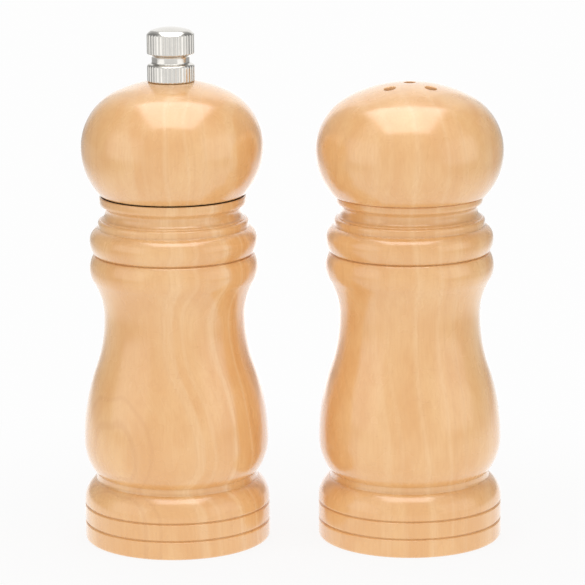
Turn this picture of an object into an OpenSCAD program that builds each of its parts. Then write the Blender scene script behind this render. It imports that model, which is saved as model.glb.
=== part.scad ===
// Salt and pepper set: a pepper mill with a crown nut and a one-piece salt
// shaker, both turned from wood. Millimetres, +Z up, both stand on z = 0.

/* [Set] */
// Distance between the mill's and the shaker's axes
axis_spacing = 66; // [58:1:90]

/* [Mill body] */
// Radius of the mill's foot
mill_foot_r = 26.2; // [25.5:0.1:27]
// Largest radius of the mill's belly
mill_belly_r = 26; // [25:0.1:27]
// Radius of the bore that holds the peppercorns
pepper_bore_r = 13.5; // [12.8:0.1:14]
// Height of the joint between body and head
seam_z = 98.5; // [98:0.1:99]

/* [Mill head] */
// Largest radius of the mill's head
mill_head_r = 25.4; // [24.8:0.1:26]
// Height at which the mill's head is widest
mill_head_z = 112.1; // [111:0.1:113]
// Length of the tenon that turns in the body
tenon_length = 8.5; // [6:0.5:10]

/* [Shaker] */
// Radius of the shaker's foot
shaker_foot_r = 25.9; // [25.4:0.1:27]
// Largest radius of the shaker's belly
shaker_belly_r = 25.7; // [25:0.1:26.8]
// Largest radius of the shaker's head
shaker_head_r = 26.2; // [25.6:0.1:26.8]
// Height at which the shaker's head is widest
shaker_head_z = 110.5; // [110:0.1:111.5]
// Radius of the bore that holds the salt
salt_bore_r = 12.5; // [11:0.5:13]
// Radius of a pouring hole
pour_hole_r = 1.6; // [1:0.1:1.9]
// Radius of the ring of pouring holes round the centre one
pour_ring_r = 8; // [6:0.5:9]
// Number of pouring holes on the ring
pour_ring_count = 4; // [3:1:6]

/* [Crown nut] */
// Radius over the ribs of the nut
nut_r = 6.6; // [6.2:0.1:6.8]
// Height of the nut
nut_h = 15.25; // [15:0.05:16]
// Number of ribs round the nut
nut_ribs = 34; // [24:1:48]

/* [Grinder] */
// Side of the square shaft
shaft_side = 5; // [4.6:0.1:5]
// Gap between the burrs at the coarsest setting
burr_gap = 0.95; // [0.9:0.05:1.2]
// Wire radius of the burr spring
spring_wire_r = 0.4; // [0.3:0.05:0.45]
// Number of coils in the burr spring
spring_coils = 5; // [4:1:6]

/* [Hidden] */
$fn = 96;
eps = 0.01;

// The two axes are placed so that the whole set is centred on x = 0.
mill_max_r = max(mill_foot_r, mill_belly_r, mill_head_r);
shaker_max_r = max(shaker_foot_r, shaker_belly_r, shaker_head_r);
mill_x = (mill_max_r - shaker_max_r - axis_spacing) / 2;
shaker_x = mill_x + axis_spacing;

// Turned outline that both pieces share, from the foot up.
foot_edge_r = 1;          // rounding under the foot
foot_groove_z = [5.4, 10.4];
foot_groove_depth = 0.55;
foot_groove_half = 0.4;
shoulder_z = 11.3;        // start of the round shoulder above the foot
shoulder_r = 7.6;
shoulder_top_z = 17.4;
cove_depth = 0.45;        // shallow cove between shoulder and belly
belly_start_z = 20.2;
belly_z = 28.7;           // where the belly is widest
belly_low_r = 15;         // radius of the belly's curve below that
belly_up_r = 61;          // and above it
neck_r = 19.8;
neck_z = 64.2;
collar_r = 23.6;
collar_z = 78.1;
collar_arc_r = 7;
vee_z = 82.05;            // vee groove between collar and bead
vee_r = 21.85;
vee_half = 0.25;
bead_r = 23.45;
bead_z = 86;
bead_low_r = 6.8;
bead_up_r = 3.9;
step_r = 21.05;           // small step above the bead
step_top_z = 91.9;
step_round_r = 0.9;
throat_r = 19.05;         // cove below the lip
throat_z = 94;
throat_arc_r = 2.2;
lip_r = 20.5;
lip_low_z = 96;
lip_edge_z = 97.1;
edge_break = 0.25;        // small bevel on a turned edge

// Heads.
head_gap = 0.2;           // running gap between head and body
head_low_r = 19.6;        // radius of the mill's head below its widest point
head_up_r = 16.9;         // and above it
head_crown_at = 65;       // angle at which its flatter crown starts
head_seat_z = seam_z + head_gap;
head_inset = 0.55;        // how far the head's lower edge sits inside the lip
head_bore_r = 4;          // clears the corners of the square shaft
tenon_gap = 0.3;
tenon_r = pepper_bore_r - tenon_gap;
tenon_z = seam_z - tenon_length;
crease_z = 98;            // turned crease under the shaker's head
shaker_low_r = 18.4;
shaker_up_r = 16.7;
shaker_crown_at = 62;

// Crown nut, on a flat seat turned into the crown of the head.
nut_seat_r = 6.9;
nut_gap = 0.05;
crown_back = (mill_head_r - head_up_r) / cos(head_crown_at);
crown_r = head_up_r + crown_back;
crown_centre_z = mill_head_z - crown_back * sin(head_crown_at);
nut_seat_z = crown_centre_z + sqrt(crown_r * crown_r - nut_seat_r * nut_seat_r);
nut_z = nut_seat_z + nut_gap;
low_band_h = 4.1;         // lower ribbed band
low_round_r = 1;          // rounded shoulder above it
high_band_z = 7.9;        // upper ribbed band, from the nut's underside
high_band_h = 5.2;
waist_r = 5.3;
waist_low_r = 0.5;        // fillets at the ends of the waist
waist_high_r = 0.6;
cap_arc_r = 4;            // sloping shoulder between the upper band and the cap
cap_arc = [33, 59];
nut_bore_h = 12.8;

// Square shaft with a threaded end.
shaft_top_z = 141;
thread_z = 128.5;
thread_r = shaft_side / 2;
thread_gap = 0.05;
thread_pitch = 0.8;
thread_depth = 0.3;
pivot_r = 2.4;            // round end that turns in the crossbar
pivot_h = 3;
shaft_flange_r = 4;       // carries the inner burr

// Recess under the foot, and the housing, burrs and crossbar in it.
recess_r = 19;
recess_z = 12;
bar_t = 1.8;              // thickness of the crossbar
bar_z = 6.5;              // underside of its middle
bar_w = 8;
bar_half = 18.5;
bend_x = 11.3;
screw_x = 16.2;
screw_r = 1.4;
screw_head_r = 2.5;
screw_length = 12.5;
screw_clearance = 0.2;
flange_t = 2;
flange_rim = 1.5;
ear_r = 4.5;
bar_joggle = recess_z - flange_t - bar_t - bar_z;
barrel_r = pepper_bore_r - 0.05;
barrel_in_r = 12.2;
web_z = 30;               // bridge across the barrel, which the spring pushes on
web_t = 1.5;
web_w = 7;
web_hub_r = 5.75;
web_hole_r = 3.75;
burr_h = 9.5;
burr_mouth_r = 11;        // radius of the outer burr's mouth
burr_slope = 0.4;         // how fast the milling faces narrow with height
burr_bite_z = 17.2;       // where the milling faces end and the hopper starts
hopper_r = 11.4;
outer_teeth = 24;
inner_teeth = 10;
rotor_z = 9.6;            // underside of the inner burr
rotor_top_z = 22;
rotor_top_r = 5.6;
shaft_flange_z = bar_z + bar_t + 0.05;
washer_t = 0.8;
washer_r = 6;
washer_z = web_z - washer_t - 0.1;
spring_r = 4.6;
spring_gap = 0.05;

// Drive plate under the head's tenon.
plate_r = 11;
plate_t = 1.2;
plate_slack = 0.3;        // play of the square hole over the shaft
plate_screw_x = 8;
plate_screw_r = 1.1;
plate_screw_head_r = 2.2;
plate_screw_length = 7.2;

// Salt chamber and stopper.
salt_top_z = 123.5;
salt_bevel = 1.5;
counterbore_r = 15.5;
counterbore_z = 4.5;
stopper_flange_r = 14.9;
stopper_z = 2.3;
stopper_top_z = 14;
stopper_wall = 1.6;
stopper_r = salt_bore_r - 0.3;
stopper_in_r = stopper_r - 2.2;
stopper_rib = 0.2;
grip_t = 2;               // finger bar across the stopper's hollow

// One point on a circle, and the points of an arc after its first point.
function on(c, r, a) = c + r * [cos(a), sin(a)];
function arc(c, r, from, to, n) = [for (i = [1:n]) on(c, r, from + (to - from) * i / n)];

// Outline from under the foot to the lip, from the outer edge of the foot upwards. The belly,
// neck and collar are arcs that run into each other without a corner.
function body_outline(foot_r, belly_r) =
    let (
        shoulder_c = [foot_r - shoulder_r, shoulder_z],
        shoulder_end = asin((shoulder_top_z - shoulder_z) / shoulder_r),
        ledge_r = shoulder_c[0] + shoulder_r * cos(shoulder_end),
        belly_low_c = [belly_r - belly_low_r, belly_z],
        belly_start = asin((belly_start_z - belly_z) / belly_low_r),
        belly_up_c = [belly_r - belly_up_r, belly_z],
        neck_dr = neck_r - belly_up_c[0],
        neck_dz = neck_z - belly_z,
        neck_low_r = (neck_dr * neck_dr + neck_dz * neck_dz - belly_up_r * belly_up_r)
            / (2 * (belly_up_r - neck_dr)),
        neck_low_c = [neck_r + neck_low_r, neck_z],
        flow = atan2(neck_dz, neck_low_c[0] - belly_up_c[0]),
        rise_r = collar_r - neck_r,
        rise_z = collar_z - neck_z,
        neck_up_r = (rise_r * rise_r + rise_z * rise_z) / (2 * rise_r) - collar_arc_r,
        neck_up_c = [neck_r + neck_up_r, neck_z],
        collar_c = [collar_r - collar_arc_r, collar_z],
        turn = atan2(rise_z, neck_up_c[0] - collar_c[0]),
        collar_end = asin((vee_z - vee_half - collar_z) / collar_arc_r),
        bead_low_c = [bead_r - bead_low_r, bead_z],
        bead_start = asin((vee_z + vee_half - bead_z) / bead_low_r),
        bead_up_c = [bead_r - bead_up_r, bead_z],
        bead_end = acos((step_r - bead_up_c[0]) / bead_up_r),
        throat_c = [throat_r + throat_arc_r, throat_z]
    )
    concat(
        [[foot_r - foot_edge_r, 0]],
        arc([foot_r - foot_edge_r, foot_edge_r], foot_edge_r, -90, 0, 6),
        [for (z = foot_groove_z) each [
            [foot_r, z - foot_groove_half], [foot_r - foot_groove_depth, z], [foot_r, z + foot_groove_half]
        ]],
        [[foot_r, shoulder_z]],
        arc(shoulder_c, shoulder_r, 0, shoulder_end, 12),
        [
            [ledge_r - 0.3, shoulder_top_z + 0.15],
            [ledge_r - cove_depth, shoulder_top_z + 0.8],
            [ledge_r - cove_depth, belly_start_z - 0.9],
            on(belly_low_c, belly_low_r, belly_start)
        ],
        arc(belly_low_c, belly_low_r, belly_start, 0, 14),
        arc(belly_up_c, belly_up_r, 0, flow, 18),
        arc(neck_low_c, neck_low_r, 180 + flow, 180, 14),
        arc(neck_up_c, neck_up_r, 180, 180 - turn, 12),
        arc(collar_c, collar_arc_r, -turn, collar_end, 14),
        [[vee_r, vee_z], on(bead_low_c, bead_low_r, bead_start)],
        arc(bead_low_c, bead_low_r, bead_start, 0, 8),
        arc(bead_up_c, bead_up_r, 0, bead_end, 10),
        [[step_r, step_top_z - step_round_r]],
        arc([step_r - step_round_r, step_top_z - step_round_r], step_round_r, 0, 90, 5),
        [on(throat_c, throat_arc_r, 239)],
        arc(throat_c, throat_arc_r, 239, 127, 8),
        [[lip_r - edge_break, lip_low_z], [lip_r - 0.05, lip_edge_z - 0.5], [lip_r, lip_edge_z]]
    );

// Outline of a head from height from_z up to the middle of its crown, which is a flatter arc
// centred on the axis.
function head_outline(r, z, low_r, up_r, from_z, crown_at) =
    let (
        low_c = [r - low_r, z],
        low_start = asin((from_z - z) / low_r),
        up_c = [r - up_r, z],
        back = up_c[0] / cos(crown_at)
    )
    concat(
        [on(low_c, low_r, low_start)],
        arc(low_c, low_r, low_start, 0, 16),
        arc(up_c, up_r, 0, crown_at, 18),
        arc([0, z - back * sin(crown_at)], up_r + back, crown_at, 90, 12)
    );

// Turns an outline given as [radius, height] points about the vertical axis at x.
module turned(x, outline) {
    translate([x, 0, 0]) rotate_extrude() polygon(outline);
}

// Square bar on the z axis.
module square_bar(side, from, to) {
    translate([-side / 2, -side / 2, from]) cube([side, side, to - from]);
}

// Calls its children on both sides of the z axis, x away from it.
module both_sides(x) {
    for (side = [-1, 1])
        translate([side * x, 0, 0]) children();
}

// Round rod with a vee groove at each pitch in place of a thread.
module threaded_rod(r, depth, pitch, from, to) {
    turns = floor((to - from - pitch) / pitch);
    rotate_extrude()
        polygon(concat(
            [[0, from], [r, from]],
            [for (i = [0:turns - 1])
                let (z = from + pitch * (i + 0.5))
                each [[r, z], [r - depth, z + pitch / 2]]],
            [[r, from + pitch * (turns + 0.5)], [r - depth, to], [0, to]]
        ));
}

// Round-headed wood screw on the z axis, head down; z = 0 is under the head.
module screw(r, head_r, head_h, length) {
    tip_h = 1;
    slot_w = head_r * 0.2;
    slot_l = head_r * 1.1;
    difference() {
        rotate_extrude()
            polygon([
                [0, -head_h], [head_r * 0.6, -head_h], [head_r * 0.9, -head_h * 0.7],
                [head_r, -head_h * 0.25], [head_r, 0], [0, 0]
            ]);
        for (turn = [0, 90])
            rotate(turn) translate([-slot_l / 2, -slot_w / 2, -head_h * 1.5])
                cube([slot_l, slot_w, head_h]);
    }
    threaded_rod(r, r * 0.2, r * 0.9, -eps, length - tip_h);
    translate([0, 0, length - tip_h - eps]) cylinder(r1 = r * 0.8, r2 = 0.15, h = tip_h);
}

module mill_body() {
    color("burlywood")
    difference() {
        turned(mill_x, concat(
            body_outline(mill_foot_r, mill_belly_r),
            [
                [lip_r, seam_z - edge_break], [lip_r - edge_break, seam_z],
                [pepper_bore_r + 0.4, seam_z], [pepper_bore_r, seam_z - 0.4],
                [pepper_bore_r, recess_z], [recess_r, recess_z],
                [recess_r, 0.5], [recess_r + 0.5, 0]
            ]
        ));
        translate([mill_x, 0, recess_z - eps])
            both_sides(screw_x) cylinder(r = screw_r + 0.05, h = 10);
    }
}

module mill_head() {
    outline = head_outline(
        mill_head_r, mill_head_z, head_low_r, head_up_r, head_seat_z + edge_break, head_crown_at
    );
    dome = [for (p = outline) if (p[0] > nut_seat_r) p];
    color("burlywood")
    difference() {
        turned(mill_x, concat(
            [
                [head_bore_r, tenon_z], [tenon_r - 0.6, tenon_z], [tenon_r, tenon_z + 0.6],
                [tenon_r, head_seat_z], [lip_r - head_inset, head_seat_z]
            ],
            dome,
            [[nut_seat_r, nut_seat_z], [head_bore_r, nut_seat_z]]
        ));
        translate([mill_x, 0, tenon_z - eps])
            both_sides(plate_screw_x) cylinder(r = plate_screw_r + 0.05, h = 7);
    }
}

// Outline of the nut, from its underside up to the middle of its low cap.
function nut_outline() =
    let (
        low_top = nut_z + low_band_h,
        high_from = nut_z + high_band_z,
        high_to = high_from + high_band_h,
        low_fillet_z = low_top + low_round_r + waist_low_r,
        high_fillet_z = high_from - 1.05,
        cap_arc_c = [nut_r, high_to] - cap_arc_r * [cos(cap_arc[0]), sin(cap_arc[0])],
        cap_edge = on(cap_arc_c, cap_arc_r, cap_arc[1]),
        cap_h = nut_z + nut_h - cap_edge[1],
        dome_r = (cap_edge[0] * cap_edge[0] + cap_h * cap_h) / (2 * cap_h),
        dome_c = [0, nut_z + nut_h - dome_r]
    )
    concat(
        [[0, nut_z], [nut_r - 0.35, nut_z], [nut_r, nut_z + 0.35], [nut_r, low_top]],
        arc([nut_r - low_round_r, low_top], low_round_r, 0, 78, 7),
        arc([waist_r + waist_low_r, low_fillet_z], waist_low_r, 250, 180, 5),
        [[waist_r, high_fillet_z]],
        arc([waist_r + waist_high_r, high_fillet_z], waist_high_r, 180, 100, 5),
        [[nut_r, high_from], [nut_r, high_to]],
        arc(cap_arc_c, cap_arc_r, cap_arc[0], cap_arc[1], 4),
        arc(dome_c, dome_r, acos(cap_edge[0] / dome_r), 90, 8)
    );

module crown_nut() {
    flute_r = 0.34;
    flute_out = 0.12;         // how far a flute's axis lies outside the nut
    color("silver")
    translate([mill_x, 0, 0])
    difference() {
        intersection() {
            rotate_extrude() polygon(nut_outline());
            translate([0, 0, nut_z - 1])
                linear_extrude(nut_h + 2)
                    difference() {
                        circle(nut_r + 1);
                        for (i = [0:nut_ribs - 1])
                            rotate(i * 360 / nut_ribs)
                                translate([nut_r + flute_out, 0]) circle(flute_r, $fn = 24);
                    }
        }
        translate([0, 0, nut_z - eps]) cylinder(r = thread_r + thread_gap, h = nut_bore_h);
        translate([0, 0, nut_z - eps]) cylinder(r1 = thread_r + 0.6, r2 = thread_r, h = 0.6);
    }
}

module drive_plate() {
    color("lightsteelblue")
    translate([mill_x, 0, tenon_z - plate_t])
    difference() {
        cylinder(r = plate_r, h = plate_t);
        square_bar(shaft_side + plate_slack, -1, plate_t + 1);
        translate([0, 0, -1])
            both_sides(plate_screw_x) cylinder(r = plate_screw_r + screw_clearance, h = plate_t + 2);
    }
}

module drive_plate_screws() {
    color("gainsboro")
    translate([mill_x, 0, tenon_z - plate_t])
        both_sides(plate_screw_x) screw(plate_screw_r, plate_screw_head_r, 1.2, plate_screw_length);
}

module mill_shaft() {
    color("lightgray")
    translate([mill_x, 0, 0])
    union() {
        square_bar(shaft_side, shaft_flange_z, thread_z);
        translate([0, 0, shaft_flange_z]) cylinder(r = shaft_flange_r, h = rotor_z - shaft_flange_z);
        translate([0, 0, shaft_flange_z - pivot_h]) cylinder(r = pivot_r, h = pivot_h + eps);
        threaded_rod(thread_r, thread_depth, thread_pitch, thread_z - eps, shaft_top_z);
    }
}

// Slanted groove along the flank of a cone that narrows upwards.
module flank_groove(flank_r, z, turn, lean, size) {
    rotate(turn) translate([flank_r, 0, z])
        rotate([lean, -atan(burr_slope), 0]) rotate(45)
            translate([-size / 2, -size / 2, -20]) cube([size, size, 40]);
}

module inner_burr() {
    mouth_r = burr_mouth_r - burr_gap;
    bite_r = mouth_r - burr_slope * (burr_bite_z - recess_z);
    color("dimgray")
    translate([mill_x, 0, 0])
    difference() {
        rotate_extrude()
            polygon([
                [0, rotor_z], [mouth_r - 0.6, rotor_z], [mouth_r, rotor_z + 0.6], [mouth_r, recess_z],
                [bite_r, burr_bite_z], [rotor_top_r, rotor_top_z], [0, rotor_top_z]
            ]);
        square_bar(shaft_side + 0.04, rotor_z - 1, rotor_top_z + 1);
        for (i = [0:inner_teeth - 1])
            flank_groove((mouth_r + bite_r) / 2, (recess_z + burr_bite_z) / 2, i * 360 / inner_teeth, 22, 1.7);
    }
}

module outer_burr() {
    bite_r = burr_mouth_r - burr_slope * (burr_bite_z - recess_z);
    rim_r = barrel_in_r - 0.05;
    color("gray")
    translate([mill_x, 0, 0])
    difference() {
        rotate_extrude()
            polygon([
                [burr_mouth_r, recess_z], [rim_r, recess_z], [rim_r, recess_z + burr_h],
                [hopper_r, recess_z + burr_h], [bite_r, burr_bite_z]
            ]);
        for (i = [0:outer_teeth - 1])
            flank_groove(bite_r + 1.1, (recess_z + burr_bite_z) / 2, i * 360 / outer_teeth, -14, 0.8);
    }
}

module burr_housing() {
    ear_x = bar_half - ear_r;
    color("darkgray")
    translate([mill_x, 0, 0])
    difference() {
        union() {
            translate([0, 0, recess_z - flange_t])
                linear_extrude(flange_t) {
                    circle(barrel_r + flange_rim);
                    both_sides(ear_x) circle(ear_r);
                    translate([-ear_x, -ear_r]) square([2 * ear_x, 2 * ear_r]);
                }
            difference() {
                translate([0, 0, recess_z - eps]) cylinder(r = barrel_r, h = web_z + web_t - recess_z);
                translate([0, 0, recess_z - 1]) cylinder(r = barrel_in_r, h = web_z);
            }
            intersection() {
                translate([-barrel_r, -web_w / 2, web_z - eps]) cube([2 * barrel_r, web_w, web_t]);
                translate([0, 0, web_z - 1]) cylinder(r = barrel_r - 0.5, h = web_t + 2);
            }
            translate([0, 0, web_z - eps]) cylinder(r = web_hub_r, h = web_t);
        }
        translate([0, 0, -1]) cylinder(r = burr_mouth_r, h = recess_z + 1);
        translate([0, 0, web_z - 1]) cylinder(r = web_hole_r, h = web_t + 2);
        both_sides(screw_x) cylinder(r = screw_r + screw_clearance, h = recess_z + 1);
    }
}

// Compression spring swept along its helix; its end coils close up.
module burr_spring() {
    rings = spring_coils * 22;
    sides = 10;
    end_share = 0.9 / spring_coils;
    end_rise = 0.12;
    low = rotor_top_z + spring_wire_r + spring_gap;
    high = washer_z - spring_wire_r - spring_gap;
    // Share of the height reached at share t of the wire.
    function climb(t) =
        t < end_share ? end_rise * t / end_share
        : t > 1 - end_share ? 1 - end_rise * (1 - t) / end_share
        : end_rise + (1 - 2 * end_rise) * (t - end_share) / (1 - 2 * end_share);
    points = [for (i = [0:rings], k = [0:sides - 1])
        let (
            a = 360 * spring_coils * i / rings,
            b = 360 * k / sides,
            r = spring_r + spring_wire_r * cos(b)
        )
        [r * cos(a), r * sin(a), low + (high - low) * climb(i / rings) + spring_wire_r * sin(b)]];
    walls = [for (i = [0:rings - 1], k = [0:sides - 1])
        let (n = (k + 1) % sides)
        [i * sides + k, (i + 1) * sides + k, (i + 1) * sides + n, i * sides + n]];
    ends = [
        [for (k = [0:sides - 1]) k],
        [for (k = [sides - 1:-1:0]) rings * sides + k]
    ];
    color("slategray")
    translate([mill_x, 0, 0]) polyhedron(points, concat(walls, ends), convexity = 10);
}

module thrust_washer() {
    color("lightsteelblue")
    translate([mill_x, 0, washer_z])
    difference() {
        cylinder(r = washer_r, h = washer_t);
        square_bar(shaft_side + 0.2, -1, washer_t + 1);
    }
}

module crossbar() {
    ear_top_z = recess_z - flange_t;
    right = [
        [bend_x, bar_z], [bend_x + bar_joggle, bar_z + bar_joggle], [bar_half, bar_z + bar_joggle],
        [bar_half, ear_top_z], [bend_x + bar_joggle - 0.7, ear_top_z], [bend_x - 0.7, bar_z + bar_t]
    ];
    color("silver")
    translate([mill_x, 0, 0])
    difference() {
        translate([0, bar_w / 2, 0]) rotate([90, 0, 0])
            linear_extrude(bar_w)
                polygon(concat(right, [for (i = [len(right) - 1:-1:0]) [-right[i][0], right[i][1]]]));
        translate([0, 0, bar_z - 1]) cylinder(r = pivot_r + 0.1, h = bar_t + 2);
        both_sides(screw_x) cylinder(r = screw_r + screw_clearance, h = recess_z);
    }
}

module crossbar_screws() {
    color("gainsboro")
    translate([mill_x, 0, recess_z - flange_t - bar_t])
        both_sides(screw_x) screw(screw_r, screw_head_r, 1.8, screw_length);
}

module shaker_body() {
    head = head_outline(
        shaker_head_r, shaker_head_z, shaker_low_r, shaker_up_r, crease_z + edge_break, shaker_crown_at
    );
    color("burlywood")
    difference() {
        turned(shaker_x, concat(
            body_outline(shaker_foot_r, shaker_belly_r),
            [[lip_r + 0.05, crease_z - 0.3], [lip_r - edge_break, crease_z]],
            head,
            [
                [0, salt_top_z], [salt_bore_r - salt_bevel, salt_top_z],
                [salt_bore_r, salt_top_z - salt_bevel], [salt_bore_r, counterbore_z],
                [counterbore_r, counterbore_z], [counterbore_r, 0.5], [counterbore_r + 0.5, 0]
            ]
        ));
        translate([shaker_x, 0, salt_top_z - 1]) {
            cylinder(r = pour_hole_r, h = 12, $fn = 48);
            for (i = [0:pour_ring_count - 1])
                rotate(45 + i * 360 / pour_ring_count)
                    translate([pour_ring_r, 0, 0]) cylinder(r = pour_hole_r, h = 12, $fn = 48);
        }
    }
}

module shaker_stopper() {
    roof_z = stopper_top_z - stopper_wall;
    flange_top_z = counterbore_z - 0.1;
    color("whitesmoke") {
        turned(shaker_x, concat(
            [
                [stopper_in_r, stopper_z], [stopper_flange_r - 0.5, stopper_z],
                [stopper_flange_r, stopper_z + 0.5], [stopper_flange_r, flange_top_z],
                [stopper_r, flange_top_z]
            ],
            [for (z = [6, 8.6, 11.2]) each [
                [stopper_r, z], [stopper_r + stopper_rib, z + 0.3],
                [stopper_r + stopper_rib, z + 0.8], [stopper_r, z + 1.2]
            ]],
            [
                [stopper_r, stopper_top_z - 0.8], [stopper_r - 0.8, stopper_top_z], [0, stopper_top_z],
                [0, roof_z], [stopper_in_r - 0.8, roof_z], [stopper_in_r, roof_z - 0.8]
            ]
        ));
        translate([shaker_x - stopper_in_r - 0.5, -grip_t / 2, stopper_z + 0.7])
            cube([2 * stopper_in_r + 1, grip_t, roof_z - stopper_z]);
    }
}

mill_body();
mill_head();
crown_nut();
drive_plate();
drive_plate_screws();
mill_shaft();
inner_burr();
outer_burr();
burr_housing();
burr_spring();
thrust_washer();
crossbar();
crossbar_screws();
shaker_body();
shaker_stopper();
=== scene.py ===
"""Looks of the salt and pepper set: turned and lacquered wood, a chrome crown nut and the mill's works.

Lengths are in metres, and in millimetres times MM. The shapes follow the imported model: the wood is
turned again from the rings of its CAD nodes, finely enough to shine without flats.
"""

import math
from collections import defaultdict

import bmesh
import bpy
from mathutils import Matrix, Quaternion, Vector
from mathutils.geometry import delaunay_2d_cdt
from mathutils.kdtree import KDTree


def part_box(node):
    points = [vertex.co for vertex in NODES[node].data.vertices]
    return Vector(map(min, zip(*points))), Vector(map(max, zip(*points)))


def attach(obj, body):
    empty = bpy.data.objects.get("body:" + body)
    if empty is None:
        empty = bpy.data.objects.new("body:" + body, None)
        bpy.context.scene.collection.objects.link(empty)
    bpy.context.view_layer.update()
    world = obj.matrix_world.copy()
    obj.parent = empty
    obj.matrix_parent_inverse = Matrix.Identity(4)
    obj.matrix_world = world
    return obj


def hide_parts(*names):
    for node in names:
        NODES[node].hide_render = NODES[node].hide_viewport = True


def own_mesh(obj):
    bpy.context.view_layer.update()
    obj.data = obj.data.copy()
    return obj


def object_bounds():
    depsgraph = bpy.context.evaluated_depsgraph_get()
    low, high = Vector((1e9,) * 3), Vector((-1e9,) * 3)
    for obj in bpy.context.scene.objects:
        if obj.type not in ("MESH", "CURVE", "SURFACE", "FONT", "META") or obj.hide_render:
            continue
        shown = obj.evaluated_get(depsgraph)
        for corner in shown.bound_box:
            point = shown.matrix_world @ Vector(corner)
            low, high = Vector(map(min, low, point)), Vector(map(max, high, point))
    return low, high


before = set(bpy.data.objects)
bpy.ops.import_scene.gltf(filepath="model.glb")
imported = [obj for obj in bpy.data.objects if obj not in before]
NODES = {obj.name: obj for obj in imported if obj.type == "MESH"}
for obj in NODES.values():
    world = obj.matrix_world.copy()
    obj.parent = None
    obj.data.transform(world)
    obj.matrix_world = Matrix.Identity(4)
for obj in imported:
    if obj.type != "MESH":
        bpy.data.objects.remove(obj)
cad_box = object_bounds()

MM = 0.001
SET_TOP = cad_box[1][2]


# ---------------------------------------------------------------- turned outlines


def axis_of(node):
    """X of the vertical axis that a CAD node is turned about: the middle of its highest rings."""
    corners = [vertex.co for vertex in NODES[node].data.vertices]
    top = max(co.z for co in corners)
    spots = {(round(co.x, 7), round(co.y, 7)) for co in corners if co.z > top - 1e-6}
    return sum(x for x, _ in spots) / len(spots)


def outline_of(node, axis_x):
    """The outline that a CAD node is turned from, as (radius, height) points in a closed loop.

    It is read along the seam at y = 0, from the lowest outer ring up the outside. Corners that don't
    go all the way round the axis are left out, and gaps in the seam are crossed at equal height, or
    else to the nearest corner left.
    """
    near = 5e-6
    mesh = NODES[node].data
    around = KDTree(len(mesh.vertices))
    turns = []
    for i, vertex in enumerate(mesh.vertices):
        x, y, z = vertex.co.x - axis_x, vertex.co.y, vertex.co.z
        around.insert((math.hypot(x, y), 0, z), i)
        turns.append(round(math.degrees(math.atan2(y, x))))
    around.balance()
    spots, spot_of = [], {}
    for i, vertex in enumerate(mesh.vertices):
        point = Vector((vertex.co.x - axis_x, vertex.co.z))
        if abs(vertex.co.y) > near or point.x < near:
            continue
        if len({turns[k] for _, k, _ in around.find_range((point.x, 0, point.y), near)}) < 24:
            continue
        match = next((k for k, spot in enumerate(spots) if (spot - point).length < near), len(spots))
        if match == len(spots):
            spots.append(point)
        spot_of[i] = match
    links = defaultdict(set)
    for edge in mesh.edges:
        a, b = (spot_of.get(i) for i in edge.vertices)
        if None not in (a, b) and a != b:
            links[a].add(b)
            links[b].add(a)
    widest = max(spot.x for spot in spots)
    lowest = min(spot.y for spot in spots if spot.x > 0.6 * widest)
    here = max((k for k, spot in enumerate(spots) if spot.y < lowest + near), key=lambda k: spots[k].x)
    loop, left = [here], set(range(len(spots))) - {here}
    while left:
        onward = links[here] & left
        level = [k for k in left if abs(spots[k].y - spots[here].y) < near]
        if onward:
            here = max(onward, key=lambda k: spots[k].y)
        elif level:
            here = min(level, key=lambda k: abs(spots[k].x - spots[loop[-1]].x))
        else:
            here = min(left, key=lambda k: (spots[k] - spots[loop[-1]]).length)
        loop.append(here)
        left.discard(here)
    return [spots[k] for k in loop]


def bend(before, here, after):
    """Angle in degrees by which a line turns at here."""
    return math.degrees((here - before).angle(after - here))


def softened(loop, corner=22, radius=0.16 * MM, steps=3):
    """Rounds each sharp corner of a closed loop with a short curve. Returns points and corner flags."""
    points, sharp = [], []
    for i, here in enumerate(loop):
        before, after = loop[i - 1], loop[(i + 1) % len(loop)]
        if bend(before, here, after) < corner:
            points.append(here)
            sharp.append(False)
            continue
        into = min(radius, 0.4 * (here - before).length)
        out = min(radius, 0.4 * (after - here).length)
        start = here + (before - here).normalized() * into
        end = here + (after - here).normalized() * out
        for k in range(steps + 1):
            t = k / steps
            points.append(start * (1 - t) ** 2 + here * 2 * t * (1 - t) + end * t * t)
            sharp.append(True)
    return points, sharp


def curve_between(p0, p1, p2, p3, t):
    """Point at share t between p1 and p2 on the smooth curve through four points."""
    chord = (p2 - p1).length
    m1 = (p2 - p0) * (chord / ((p1 - p0).length + chord))
    m2 = (p3 - p1) * (chord / ((p3 - p2).length + chord))
    h1, h2 = (1 + 2 * t) * (1 - t) ** 2, t * (1 - t) ** 2
    h3, h4 = t * t * (3 - 2 * t), t * t * (t - 1)
    return p1 * h1 + m1 * h2 + p2 * h3 + m2 * h4


def refined(loop, step=0.42 * MM, edge=0.12 * MM, longest=2.5 * MM):
    """A closed loop with softened corners, smooth curves between them and evenly short stretches."""
    points, sharp = softened(loop)
    count = len(points)
    fine = []
    for i, here in enumerate(points):
        following = points[(i + 1) % count]
        length = (following - here).length
        fine.append(here)
        if sharp[i] and sharp[(i + 1) % count]:
            if length > 3 * edge:
                pieces = max(1, math.ceil((length - 2 * edge) / longest))
                stops = [edge + (length - 2 * edge) * k / pieces for k in range(pieces + 1)]
                fine += [here.lerp(following, stop / length) for stop in stops]
            continue
        before = points[i - 1] if not sharp[i] else here * 2 - following
        after = points[(i + 2) % count] if not sharp[(i + 1) % count] else following * 2 - here
        pieces = max(1, math.ceil(length / step))
        fine += [curve_between(before, here, following, after, k / pieces) for k in range(1, pieces)]
    return fine


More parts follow.
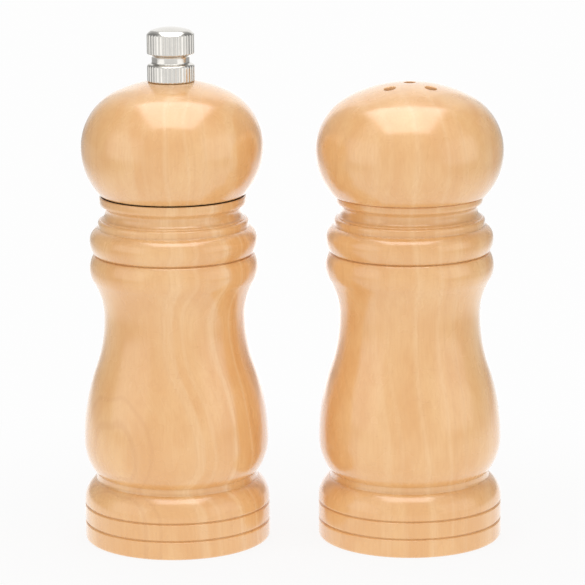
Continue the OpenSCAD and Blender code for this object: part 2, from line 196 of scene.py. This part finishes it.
def hollows(loop, reach=0.8 * MM):
    """How far each point of a loop lies inside the line's local mean, in reaches: grooves are positive."""
    depth = []
    for i, here in enumerate(loop):
        near = [here]
        for way in (-1, 1):
            gone, j = 0.0, i
            while gone < reach:
                following = loop[(j + way) % len(loop)]
                gone += (following - loop[j % len(loop)]).length
                j += way
                near.append(following)
        mean = sum((p.x for p in near)) / len(near)
        depth.append((mean - here.x) / reach)
    return depth


# ---------------------------------------------------------------- meshes


def new_object(name, bm, *materials):
    """An object with smooth faces made of a bmesh."""
    bmesh.ops.remove_doubles(bm, verts=bm.verts, dist=2e-7)
    bmesh.ops.recalc_face_normals(bm, faces=bm.faces)
    mesh = bpy.data.meshes.new(name)
    bm.to_mesh(mesh)
    bm.free()
    mesh.shade_smooth()
    for material in materials:
        mesh.materials.append(material)
    obj = bpy.data.objects.new(name, mesh)
    bpy.context.scene.collection.objects.link(obj)
    return obj


def add_ring(bm, axis_x, radius, z, segments):
    """A level ring of vertices about a vertical axis."""
    turns = [2 * math.pi * k / segments for k in range(segments)]
    return [bm.verts.new((axis_x + radius * math.cos(a), radius * math.sin(a), z)) for a in turns]


def bridge(bm, low, high, material=0):
    """Quads between two rings of equal count."""
    count = len(low)
    for k in range(count):
        n = (k + 1) % count
        face = bm.faces.new((low[k], low[n], high[n], high[k]))
        face.material_index = material


def turned(name, node, axis_x, finish, bare, segments=168, drill=None, seam_z=None):
    """A fine turned solid in place of a CAD node: finish outside, bare wood in its bores and recesses.

    drill may name the radii between which pouring holes go through the crown and the chamber's roof,
    and seam_z the height of a gap whose faces are painted dark brown as shade.
    """
    loop = refined(outline_of(node, axis_x))
    summit = max(range(len(loop)), key=lambda i: (round(loop[i].y, 5), loop[i].x))
    bm = bmesh.new()
    # This layer carries painted shade: each ring's depth in a hollow, and 1 on the faces of the seam gap.
    groove = bm.verts.layers.float.new("groove")
    rings = []
    for point, hollow in zip(loop, hollows(loop)):
        ring = add_ring(bm, axis_x, point.x, point.y, segments)
        in_seam = seam_z is not None and abs(point.y - seam_z) < 0.2 * MM
        for vertex in ring:
            vertex[groove] = 1.0 if in_seam else hollow
        rings.append(ring)
    drilled = [i for i, point in enumerate(loop) if drill and is_drilled(point, drill)]
    for i, ring in enumerate(rings):
        j = (i + 1) % len(rings)
        if not (i in drilled and j in drilled):
            bridge(bm, ring, rings[j], 0 if i < summit else 1)
    if drilled:
        add_pour_holes(bm, loop, rings, drilled)
    return new_object(name, bm, finish, bare)


def is_drilled(point, drill):
    """Whether an outline point lies in the part of the crown or roof that the pouring holes go through."""
    return drill[0] < point.x < drill[1] and point.y > SET_TOP * 0.8


def height_at(points, radius):
    """Height of an outline stretch at a radius; the stretch runs inwards or outwards."""
    for a, b in zip(points, points[1:]):
        if min(a.x, b.x) <= radius <= max(a.x, b.x) and a.x != b.x:
            return a.y + (b.y - a.y) * (radius - a.x) / (b.x - a.x)
    return min(points, key=lambda p: abs(p.x - radius)).y


def holed_patch(bm, rings, centre_x, holes, hole_r, lip, height, material):
    """Fills the flat-on ring between two rings, leaving round holes with rounded lips.

    height(radius) gives the surface, and lip is the drop at a hole's rim, negative to rise.
    Returns the rim rings of the holes.
    """
    edge_points = 56
    offsets = [0, 0.05, 0.12, 0.22, 0.36, 0.6, 0.95]
    spots = [Vector((v.co.x - centre_x, v.co.y)) for ring in rings for v in ring]
    made = [v for ring in rings for v in ring]
    near, far = sorted(Vector((ring[0].co.x - centre_x, ring[0].co.y)).length for ring in rings)
    drops = [0.0] * len(spots)
    for hole in holes:
        for offset in offsets:
            d = offset * MM
            inside = max(0.0, abs(lip) - d)
            drop = abs(lip) - math.sqrt(max(0.0, lip * lip - inside * inside))
            for k in range(edge_points):
                a = 2 * math.pi * k / edge_points
                spots.append(hole + Vector((math.cos(a), math.sin(a))) * (hole_r + d))
                drops.append(math.copysign(drop, lip))
    spacing = 0.75 * MM
    steps = math.ceil(far / spacing)
    for i in range(-steps, steps + 1):
        for j in range(-steps, steps + 1):
            spot = Vector(((i + 0.5 * (j % 2)) * spacing, j * spacing * 0.866))
            clear = min((spot - hole).length for hole in holes) - hole_r
            if near + 0.5 * MM < spot.length < far - 0.5 * MM and clear > 1.4 * MM:
                spots.append(spot)
                drops.append(0.0)
    flat, _, faces, origins, _, _ = delaunay_2d_cdt(spots, [], [], 0, 1e-8)
    verts = []
    for spot, sources in zip(flat, origins):
        first = sources[0] if sources else 0
        if first < len(made):
            verts.append(made[first])
        else:
            z = height(spot.length) - drops[first]
            verts.append(bm.verts.new((centre_x + spot.x, spot.y, z)))
    for face in faces:
        middle = sum((flat[i] for i in face), Vector((0, 0))) / len(face)
        open_hole = min((middle - hole).length for hole in holes) < hole_r * 0.999
        if not open_hole and near * 1.0001 < middle.length < far:
            bm.faces.new([verts[i] for i in face]).material_index = material
    of_spot = {source: verts[i] for i, sources in enumerate(origins) for source in sources}
    start = len(made)
    rims = []
    for h in range(len(holes)):
        first = start + h * len(offsets) * edge_points
        rims.append([of_spot[first + k] for k in range(edge_points)])
    return rims


def pour_holes(node, axis_x, roof_z):
    """Radius of a pouring hole and the middles of those round the centre one, from the CAD node."""
    rims = []
    for vertex in NODES[node].data.vertices:
        spot = Vector((vertex.co.x - axis_x, vertex.co.y))
        if abs(vertex.co.z - roof_z) < 0.01 * MM and 3 * MM < spot.length < 10.5 * MM:
            rims.append(spot)
    near, far = min(rim.length for rim in rims), max(rim.length for rim in rims)
    turns = {round(math.atan2(rim.y, rim.x), 3) for rim in rims if rim.length < near + 0.002 * MM}
    middle = (near + far) / 2
    return (far - near) / 2, [Vector((math.cos(a), math.sin(a))) * middle for a in sorted(turns)]


def add_pour_holes(bm, loop, rings, drilled):
    """Drills the ring of pouring holes through the crown and the roof of the salt chamber."""
    levels = 8
    gap = next(k for k in range(1, len(drilled)) if drilled[k] != drilled[k - 1] + 1)
    crown, roof = drilled[:gap], drilled[gap:]
    roof_z = loop[roof[0]].y
    hole_r, holes = pour_holes("shaker_body", SHAKER_X, roof_z)
    crown_line = [loop[i] for i in crown]
    tops = holed_patch(
        bm, [rings[crown[0]], rings[crown[-1]]], SHAKER_X, holes, hole_r, 0.3 * MM,
        lambda r: height_at(crown_line, r), 0,
    )
    bottoms = holed_patch(
        bm, [rings[roof[0]], rings[roof[-1]]], SHAKER_X, holes, hole_r, -0.15 * MM,
        lambda r: roof_z, 1,
    )
    for top, bottom in zip(tops, bottoms):
        walls = [top]
        for level in range(1, levels):
            walls.append([bm.verts.new(a.co.lerp(b.co, level / levels)) for a, b in zip(top, bottom)])
        walls.append(bottom)
        for low, high in zip(walls, walls[1:]):
            bridge(bm, low, high, 1)
    for i in crown[1:-1] + roof[1:-1]:
        for vertex in rings[i]:
            bm.verts.remove(vertex)


# ---------------------------------------------------------------- shaders


class Shader:
    """A material whose nodes are added one call at a time."""

    def __init__(self, name):
        self.material = bpy.data.materials.new(name)
        self.material.use_nodes = True
        self.tree = self.material.node_tree
        self.surface = self.tree.nodes["Principled BSDF"]

    def put(self, socket, value):
        """Links a socket to another, or sets its own value."""
        if isinstance(value, bpy.types.NodeSocket):
            self.tree.links.new(value, socket)
        else:
            socket.default_value = value

    def node(self, kind, inputs=None, **settings):
        """Adds a node, sets its settings and fills its inputs by name or number."""
        made = self.tree.nodes.new("ShaderNode" + kind)
        for name, value in settings.items():
            setattr(made, name, value)
        for name, value in (inputs or {}).items():
            self.put(made.inputs[name], value)
        return made

    def finish(self, **inputs):
        """Fills sockets of the surface shader, with _ for a space in a name."""
        for name, value in inputs.items():
            self.put(self.surface.inputs[name.replace("_", " ")], value)
        return self.material

    def place(self, origin=(0, 0, 0), turn=(0, 0, 0), unit=MM):
        """Position on the piece from an origin, turned, in units of unit."""
        spot = self.node("TexCoord").outputs["Object"]
        moved = self.node("VectorMath", {0: spot, 1: origin}, operation="SUBTRACT").outputs[0]
        size = (1 / unit, 1 / unit, 1 / unit)
        return self.node("Mapping", {"Vector": moved, "Rotation": turn, "Scale": size}).outputs[0]

    def stretch(self, vector, scale):
        """A vector scaled along each axis."""
        return self.node("VectorMath", {0: vector, 1: scale}, operation="MULTIPLY").outputs[0]

    def noise(self, vector, scale=1.0, detail=2.0, rough=0.5):
        """Noise from 0 to 1 at a position."""
        inputs = {"Vector": vector, "Scale": scale, "Detail": detail, "Roughness": rough}
        return self.node("TexNoise", inputs).outputs["Fac"]

    def bands(self, value, scale=1.0, detail=2.0, rough=0.5):
        """Noise from 0 to 1 along a single value."""
        inputs = {"W": value, "Scale": scale, "Detail": detail, "Roughness": rough}
        return self.node("TexNoise", inputs, noise_dimensions="1D").outputs["Fac"]

    def math(self, operation, a, b=0.0):
        """One arithmetic step."""
        return self.node("Math", {0: a, 1: b}, operation=operation).outputs[0]

    def remap(self, value, low, high, to_low=0.0, to_high=1.0):
        """Takes low..high smoothly to to_low..to_high."""
        inputs = {"Value": value, "From Min": low, "From Max": high, "To Min": to_low, "To Max": to_high}
        return self.node("MapRange", inputs, interpolation_type="SMOOTHSTEP").outputs["Result"]

    def mix(self, share, a, b, blend="MIX"):
        """Mixes two colours."""
        made = self.node("Mix", {0: share}, data_type="RGBA", blend_type=blend)
        self.put(made.inputs[6], a)
        self.put(made.inputs[7], b)
        return made.outputs[2]

    def bump(self, height, distance, strength=1.0):
        """A normal that follows a height from 0 to 1, distance metres deep."""
        inputs = {"Height": height, "Distance": distance, "Strength": strength}
        return self.node("Bump", inputs).outputs["Normal"]


def rgb(red, green, blue):
    """Colour written as it looks on screen, 0 to 255, for a shader socket."""
    return tuple((c / 255 / 12.92 if c < 10.3 else ((c / 255 + 0.055) / 1.055) ** 2.4) for c in (red, green, blue)) + (1,)


def wood(name, axis_x, pith_angle, pith_lean, figure, lacquer=True, shift=0.0):
    """Pale close-grained wood. Its growth rings run round a pith that lies outside the piece.

    pith_angle is the side of the pith about the piece's axis, pith_lean its tilt in radians, figure the
    contrast of the rings and shift moves the pattern to another block of the tree.
    """
    pith_distance = 85 * MM
    shader = Shader(name)
    pith = (axis_x + pith_distance * math.cos(pith_angle), pith_distance * math.sin(pith_angle), shift)
    spot = shader.place(pith, (0, pith_lean, 0))
    sway = shader.noise(shader.stretch(spot, (0.03, 0.03, 0.011)), detail=2.0)
    flat = shader.stretch(spot, (1, 1, 0))
    from_pith = shader.node("VectorMath", {0: flat}, operation="LENGTH").outputs["Value"]
    ring = shader.math("ADD", from_pith, shader.math("MULTIPLY", sway, 16.0))
    streaks = shader.bands(ring, 0.2, 2.0, 0.5)
    lines = shader.bands(ring, 0.6, 1.5, 0.5)
    mottle = shader.noise(shader.stretch(spot, (0.11, 0.11, 0.05)), detail=3.0, rough=0.55)
    fibre = shader.noise(shader.stretch(spot, (1.6, 1.6, 0.09)), detail=3.0, rough=0.6)
    base = shader.mix(shader.remap(mottle, 0.3, 0.7), rgb(226, 171, 110), rgb(234, 186, 128))
    pale = shader.remap(streaks, 0.48, 0.72, 0.0, figure * 0.75)
    dark = shader.remap(lines, 0.58, 0.76, 0.0, figure * 0.32)
    colour = shader.mix(pale, base, rgb(241, 203, 154))
    colour = shader.mix(dark, colour, rgb(204, 146, 90))
    colour = shader.mix(shader.remap(fibre, 0.35, 0.75, 0.0, 0.3), colour, rgb(216, 159, 100))
    flecks = shader.noise(shader.stretch(spot, (0.35, 0.35, 2.2)), detail=2.0, rough=0.7)
    colour = shader.mix(shader.remap(flecks, 0.62, 0.74, 0.0, 0.22), colour, rgb(206, 146, 95))
    groove = shader.node("Attribute", attribute_name="groove").outputs["Fac"]
    # Painted shade: hollows such as the V-grooves are darkened towards brown by how deep they lie.
    colour = shader.mix(shader.remap(groove, 0.03, 0.3, 0.0, 0.28), colour, rgb(186, 136, 82))
    if not lacquer:
        colour = shader.mix(0.5, colour, rgb(222, 178, 134))
    # Painted shade: faces in the gap between the mill's head and body are painted dark brown.
    colour = shader.mix(shader.remap(groove, 0.8, 1.0), colour, rgb(104, 76, 48))
    if not lacquer:
        return shader.finish(Base_Color=colour, Roughness=0.75, Normal=shader.bump(fibre, 0.05 * MM))
    uneven = shader.noise(shader.stretch(spot, (0.16, 0.16, 0.1)), detail=2.0)
    roughness = shader.remap(uneven, 0.3, 0.7, 0.2, 0.3)
    height = shader.math("ADD", shader.math("MULTIPLY", uneven, 0.9), shader.math("MULTIPLY", fibre, 0.04))
    normal = shader.bump(height, 0.06 * MM)
    return shader.finish(
        Base_Color=colour, Roughness=roughness, IOR=1.5, Normal=normal,
        Coat_Weight=1.0, Coat_Roughness=0.16, Coat_IOR=1.5,
    )


def metal(name, colour, roughness, wear=0.08, brushed=(1, 1, 1), depth=0.01, dull=0.82):
    """Metal with fine brush marks along the axis that brushed shortens least, and uneven roughness."""
    shader = Shader(name)
    spot = shader.place()
    marks = shader.noise(shader.stretch(spot, brushed), 4.0, 3.0, 0.6)
    cloud = shader.noise(spot, 0.35, 3.0)
    darker = tuple(c * dull for c in colour[:3]) + (1,)
    tone = shader.mix(shader.remap(cloud, 0.35, 0.7, 0.0, 1.0), colour, darker)
    rough = shader.remap(marks, 0.25, 0.75, roughness, roughness + wear)
    normal = shader.bump(marks, depth * MM)
    return shader.finish(Base_Color=tone, Metallic=1.0, Roughness=rough, Normal=normal)


def plastic(name, colour):
    """Soft white moulded plastic with a fine spark-eroded texture."""
    shader = Shader(name)
    spot = shader.place()
    grain = shader.noise(spot, 6.0, 2.0)
    cloud = shader.noise(spot, 0.15, 2.0)
    tone = shader.mix(shader.remap(cloud, 0.3, 0.7, 0.0, 0.5), colour, rgb(214, 211, 203))
    rough = shader.remap(grain, 0.3, 0.7, 0.36, 0.5)
    return shader.finish(Base_Color=tone, Roughness=rough, Normal=shader.bump(grain, 0.015 * MM))


# ---------------------------------------------------------------- pieces


def make_wood():
    """The mill's body and head and the shaker, turned again."""
    grain = {
        "mill_body": (MILL_X, math.radians(45), math.radians(3), 0.8, 0.0),
        "mill_head": (MILL_X, math.radians(-12), math.radians(-2), 0.45, 0.031),
        "shaker_body": (SHAKER_X, math.radians(8), math.radians(1), 0.4, 0.083),
    }
    bodies = {"mill_body": "mill_base", "mill_head": "head", "shaker_body": "shaker"}
    # Height of the gap between the mill's head and body, whose faces get painted shade.
    seam_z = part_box("mill_body")[1].z + 0.1 * MM
    seams = {"mill_body": seam_z, "mill_head": seam_z}
    for node, (axis_x, side, lean, figure, shift) in grain.items():
        finish = wood(node + "_lacquered", axis_x, side, lean, figure, shift=shift)
        bare = wood(node + "_bare", axis_x, side, lean, figure, lacquer=False, shift=shift)
        drill = (4.6 * MM, 10.9 * MM) if node == "shaker_body" else None
        piece = turned("turned_" + node, node, axis_x, finish, bare, drill=drill, seam_z=seams.get(node))
        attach(piece, bodies[node])
        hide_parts(node)


def rounded(centre_r, centre_z, radius, start, stop, steps=8):
    """Points of an arc, with angles in degrees."""
    turns = [math.radians(start + (stop - start) * k / steps) for k in range(steps + 1)]
    return [(centre_r + radius * math.cos(a), centre_z + radius * math.sin(a)) for a in turns]


def nut_outline(low, high):
    """The crown nut's outline in a closed loop, from its bore's mouth up the outside and down its bore."""
    nut_r, height = (high.y - low.y) / 2 / MM, (high.z - low.z) / MM
    low_top, low_round = 4.1, 1.0
    waist_r, low_fillet, high_fillet = 5.3, 0.5, 0.6
    band_from, band_to = 7.9, 13.1
    shoulder_r, shoulder_from, shoulder_to = 4.0, 33, 59
    bore_r, bore_top, bore_mouth = 2.55, 12.8, 3.1
    turn = math.radians(shoulder_from)
    shoulder_x, shoulder_z = nut_r - shoulder_r * math.cos(turn), band_to - shoulder_r * math.sin(turn)
    shoulder = rounded(shoulder_x, shoulder_z, shoulder_r, shoulder_from, shoulder_to, 4)
    cap_r, cap_h = shoulder[-1][0], height - shoulder[-1][1]
    dome_r = (cap_r ** 2 + cap_h ** 2) / (2 * cap_h)
    outline = [(bore_mouth, 0), (nut_r - 0.35, 0), (nut_r, 0.35), (nut_r, low_top)]
    outline += rounded(nut_r - low_round, low_top, low_round, 10, 78)
    outline += rounded(waist_r + low_fillet, low_top + low_round + low_fillet, low_fillet, 250, 180, 5)
    outline += rounded(waist_r + high_fillet, band_from - 1.05, high_fillet, 180, 100, 5)
    outline += [(nut_r, band_from)] + shoulder
    outline += rounded(0, height - dome_r, dome_r, math.degrees(math.acos(cap_r / dome_r)), 89.9)[1:]
    outline += [(0.1, bore_top), (bore_r, bore_top), (bore_r, 0.6)]
    return [Vector((r * MM, low.z + z * MM)) for r, z in outline]


def flute_depth(turn, flutes=34):
    """How deep the nut's flutes are cut at an angle about its axis."""
    off = (turn * flutes / (2 * math.pi) + 0.5) % 1 - 0.5
    return 0.24 * MM * math.exp(-(off / 0.13) ** 2)


def make_nut():
    """The chrome crown nut, fluted round its two bands."""
    flutes, steps = 34, 12
    blend = 0.03 * MM
    centre_r = 0.3 * MM
    low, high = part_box("crown_nut")
    nut_r = (high.y - low.y) / 2
    loop = refined(nut_outline(low, high), step=0.13 * MM, edge=0.05 * MM)
    first = next(i for i, point in enumerate(loop) if point.x < centre_r)
    last = max(i for i, point in enumerate(loop) if point.x < centre_r)
    turns = [2 * math.pi * k / (flutes * steps) for k in range(flutes * steps)]
    bm = bmesh.new()
    rings = []
    for point in loop[last + 1:] + loop[:first]:
        ring = []
        for turn in turns:
            cut = nut_r - flute_depth(turn)
            over = max(-30.0, min(30.0, (point.x - cut) / blend))
            r = point.x - blend * math.log1p(math.exp(over)) if over < 30.0 else cut
            ring.append(bm.verts.new((MILL_X + r * math.cos(turn), r * math.sin(turn), point.y)))
        rings.append(ring)
    for low_ring, high_ring in zip(rings, rings[1:]):
        bridge(bm, low_ring, high_ring)
    bm.faces.new(rings[0])
    bm.faces.new(rings[-1])
    chrome = metal("chrome", rgb(218, 215, 209), 0.12, 0.04, (0.5, 0.5, 0.5), depth=0.0004, dull=0.96)
    nut = new_object("fluted_crown_nut", bm, chrome)
    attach(nut, "nut")
    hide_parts("crown_nut")


def make_spring():
    """The burr spring as a round wire on the turning core; the real spring closes up as the shaft rises.
    """
    low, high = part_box("burr_spring")
    wire_r = 0.4 * MM
    coil_r = (high.x - low.x) / 2 - wire_r
    coils, steps, sides = 5, 48, 14
    end_share, end_rise = 0.18, 0.12
    bm = bmesh.new()
    last = None
    count = coils * steps
    for i in range(count + 1):
        t = i / count
        if t < end_share:
            climb = end_rise * t / end_share
        elif t > 1 - end_share:
            climb = 1 - end_rise * (1 - t) / end_share
        else:
            climb = end_rise + (1 - 2 * end_rise) * (t - end_share) / (1 - 2 * end_share)
        turn = 2 * math.pi * coils * t
        middle_z = low.z + wire_r + (high.z - low.z - 2 * wire_r) * climb
        ring = []
        for k in range(sides):
            a = 2 * math.pi * k / sides
            r = coil_r + wire_r * math.cos(a)
            spot = (MILL_X + r * math.cos(turn), r * math.sin(turn), middle_z + wire_r * math.sin(a))
            ring.append(bm.verts.new(spot))
        if last:
            bridge(bm, last, ring)
        else:
            bm.faces.new(ring)
        last = ring
    bm.faces.new(last)
    spring = new_object("spring_wire", bm, metal("spring_steel_wire", rgb(170, 172, 176), 0.24))
    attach(spring, "turning_core")
    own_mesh(spring)
    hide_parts("burr_spring")


def finish_nodes():
    """Materials of the CAD nodes that stay as they are."""
    plate = metal("zinc_plated_plate", rgb(196, 200, 206), 0.28, brushed=(0.2, 2.5, 1))
    screw = metal("zinc_plated_screw", rgb(206, 204, 196), 0.25)
    iron = metal("cast_burr", rgb(92, 90, 88), 0.42, 0.18, depth=0.04)
    looks = {
        "drive_plate": plate,
        "thrust_washer": plate,
        "crossbar": plate,
        "drive_plate_screws": screw,
        "crossbar_screws": screw,
        "mill_shaft": metal("shaft_aluminium", rgb(208, 208, 210), 0.26, brushed=(2.5, 2.5, 0.2)),
        "inner_burr": iron,
        "outer_burr": iron,
        "burr_housing": metal("die_cast_zinc", rgb(150, 152, 156), 0.4, 0.15, depth=0.03),
        "shaker_stopper": plastic("stopper_white", rgb(232, 230, 224)),
    }
    for node, material in looks.items():
        for place in NODES[node].material_slots:
            place.material = material


# ---------------------------------------------------------------- studio


def make_floor():
    """Pale floor: white to the camera with a trace of the shadow, and clear when seen from below."""
    size = 6.0
    bm = bmesh.new()
    corners = [(-size, -size), (size, -size), (size, size), (-size, size)]
    bm.faces.new([bm.verts.new((x, y, -0.02 * MM)) for x, y in corners])
    shader = Shader("studio_floor")
    floor = new_object("studio_floor", bm, shader.material)
    path = shader.node("LightPath").outputs
    spot = shader.node("TexCoord").outputs["Object"]
    away = shader.node("VectorMath", {0: spot}, operation="LENGTH").outputs["Value"]
    plain = shader.remap(away, 0.075, 0.16, 0.9, 1.0)
    lit = shader.node("BsdfDiffuse", {"Color": (0.8, 0.8, 0.8, 1)}).outputs[0]
    white = shader.node("Emission", {"Color": (1, 1, 1, 1), "Strength": 0.985}).outputs[0]
    where = shader.node("SeparateXYZ", {0: spot}).outputs
    aside = shader.remap(shader.math("ABSOLUTE", where["X"]), 0.16, 0.36)
    aside = shader.math("MULTIPLY", aside, shader.remap(where["Y"], -0.4, -0.1, 0.0, 0.6))
    near = shader.remap(away, 0.1, 0.4, 1.2, 1.05)
    strength = shader.math("MULTIPLY", near, shader.math("SUBTRACT", 1.0, aside))
    glow = shader.node("Emission", {"Color": (1, 1, 1, 1), "Strength": strength}).outputs[0]
    seen = shader.node("MixShader", {0: plain, 1: lit, 2: white}).outputs[0]
    bounced = shader.node("MixShader", {0: 0.75, 1: lit, 2: glow}).outputs[0]
    above = shader.node("MixShader", {0: path["Is Camera Ray"], 1: bounced, 2: seen}).outputs[0]
    below = shader.node("BsdfTransparent").outputs[0]
    back = shader.node("NewGeometry").outputs["Backfacing"]
    surface = shader.node("MixShader", {0: back, 1: above, 2: below}).outputs[0]
    shader.tree.links.new(surface, shader.tree.nodes["Material Output"].inputs["Surface"])


def make_world():
    """White backdrop for the camera and through clear things; a studio bright in front for all else."""
    world = bpy.data.worlds.new("studio")
    bpy.context.scene.world = world
    world.use_nodes = True
    tree = world.node_tree

    def node(kind, **inputs):
        made = tree.nodes.new("ShaderNode" + kind)
        for name, value in inputs.items():
            socket = made.inputs[name.replace("_", " ")]
            if isinstance(value, bpy.types.NodeSocket):
                tree.links.new(value, socket)
            else:
                socket.default_value = value
        return made

    def product(a, b):
        made = node("Math")
        made.operation = "MULTIPLY"
        tree.links.new(a, made.inputs[0])
        tree.links.new(b, made.inputs[1])
        return made.outputs[0]

    way = node("SeparateXYZ", Vector=node("TexCoord").outputs["Generated"]).outputs
    sideways = product(way["X"], way["X"])
    behind = node("MapRange", Value=sideways, From_Min=0.12, From_Max=0.35, To_Min=0.7, To_Max=0.3)
    room = node("MapRange", Value=way["Y"], From_Min=-0.2, From_Max=0.15, To_Min=0.85)
    tree.links.new(behind.outputs["Result"], room.inputs["To Max"])
    path = node("LightPath").outputs
    seen = node("Math")
    seen.operation = "MAXIMUM"
    tree.links.new(path["Is Camera Ray"], seen.inputs[0])
    tree.links.new(path["Is Transmission Ray"], seen.inputs[1])
    level = node("MapRange", Value=seen.outputs[0], To_Min=room.outputs["Result"], To_Max=0.985)
    backdrop = tree.nodes["Background"]
    backdrop.inputs["Color"].default_value = (1, 1, 1, 1)
    tree.links.new(level.outputs["Result"], backdrop.inputs["Strength"])


def add_softbox(name, place, target, width, height, radiance, diffuse=True, glossy=True):
    """A rectangular lamp of even radiance, hidden from the camera."""
    lamp = bpy.data.lights.new(name, "AREA")
    lamp.shape = "RECTANGLE"
    lamp.size = width
    lamp.size_y = height
    lamp.energy = radiance * math.pi * width * height
    obj = bpy.data.objects.new(name, lamp)
    obj.location = place
    obj.rotation_euler = (Vector(target) - Vector(place)).to_track_quat("-Z", "Y").to_euler()
    obj.visible_camera = False
    obj.visible_diffuse = diffuse
    obj.visible_glossy = glossy
    bpy.context.scene.collection.objects.link(obj)


def make_lights():
    """A softbox overhead with a brighter gleam, a white card behind, and soft fill from all sides."""
    above = SET_TOP + 0.5
    add_softbox("top_box", (0, -0.085, above), (0, -0.085, 0), 0.6, 0.67, 1.15)
    add_softbox("top_gleam", (0, -0.085, above - 0.03), (0, -0.085, 0), 0.5, 0.6, 1.5, diffuse=False)
    add_softbox("back_card", (0, 0.215, 0.185), (0, 0, 0.185), 0.2, 0.37, 0.4)
    for side in (-1, 1):
        add_softbox("back_fill", (side * 0.8, 0.7, 0.5), (0, 0, 0.07), 0.8, 0.8, 0.6, glossy=False)
        add_softbox("side_box", (side * 0.6, -0.3, 0.15), (0, 0, 0.08), 0.6, 0.6, 0.5)


def make_camera():
    """Long lens a little above the heads, leaning as the photograph does."""
    place = Vector((0.14 * MM, -0.864, 0.2532))
    target = Vector((0.14 * MM, 0, 0.0703))
    camera = bpy.data.cameras.new("camera")
    camera.lens = 193.6
    camera.sensor_width = 36
    obj = bpy.data.objects.new("camera", camera)
    obj.location = place
    obj.rotation_mode = "QUATERNION"
    roll = Quaternion((0, 0, 1), math.radians(-0.453))
    obj.rotation_quaternion = (target - place).to_track_quat("-Z", "Y") @ roll
    bpy.context.scene.collection.objects.link(obj)
    bpy.context.scene.camera = obj


MILL_X = axis_of("mill_body")
SHAKER_X = axis_of("shaker_body")
make_camera()
make_world()
make_floor()
make_lights()
make_wood()
make_nut()
make_spring()
finish_nodes()
bpy.context.scene.view_settings.view_transform = "Standard"
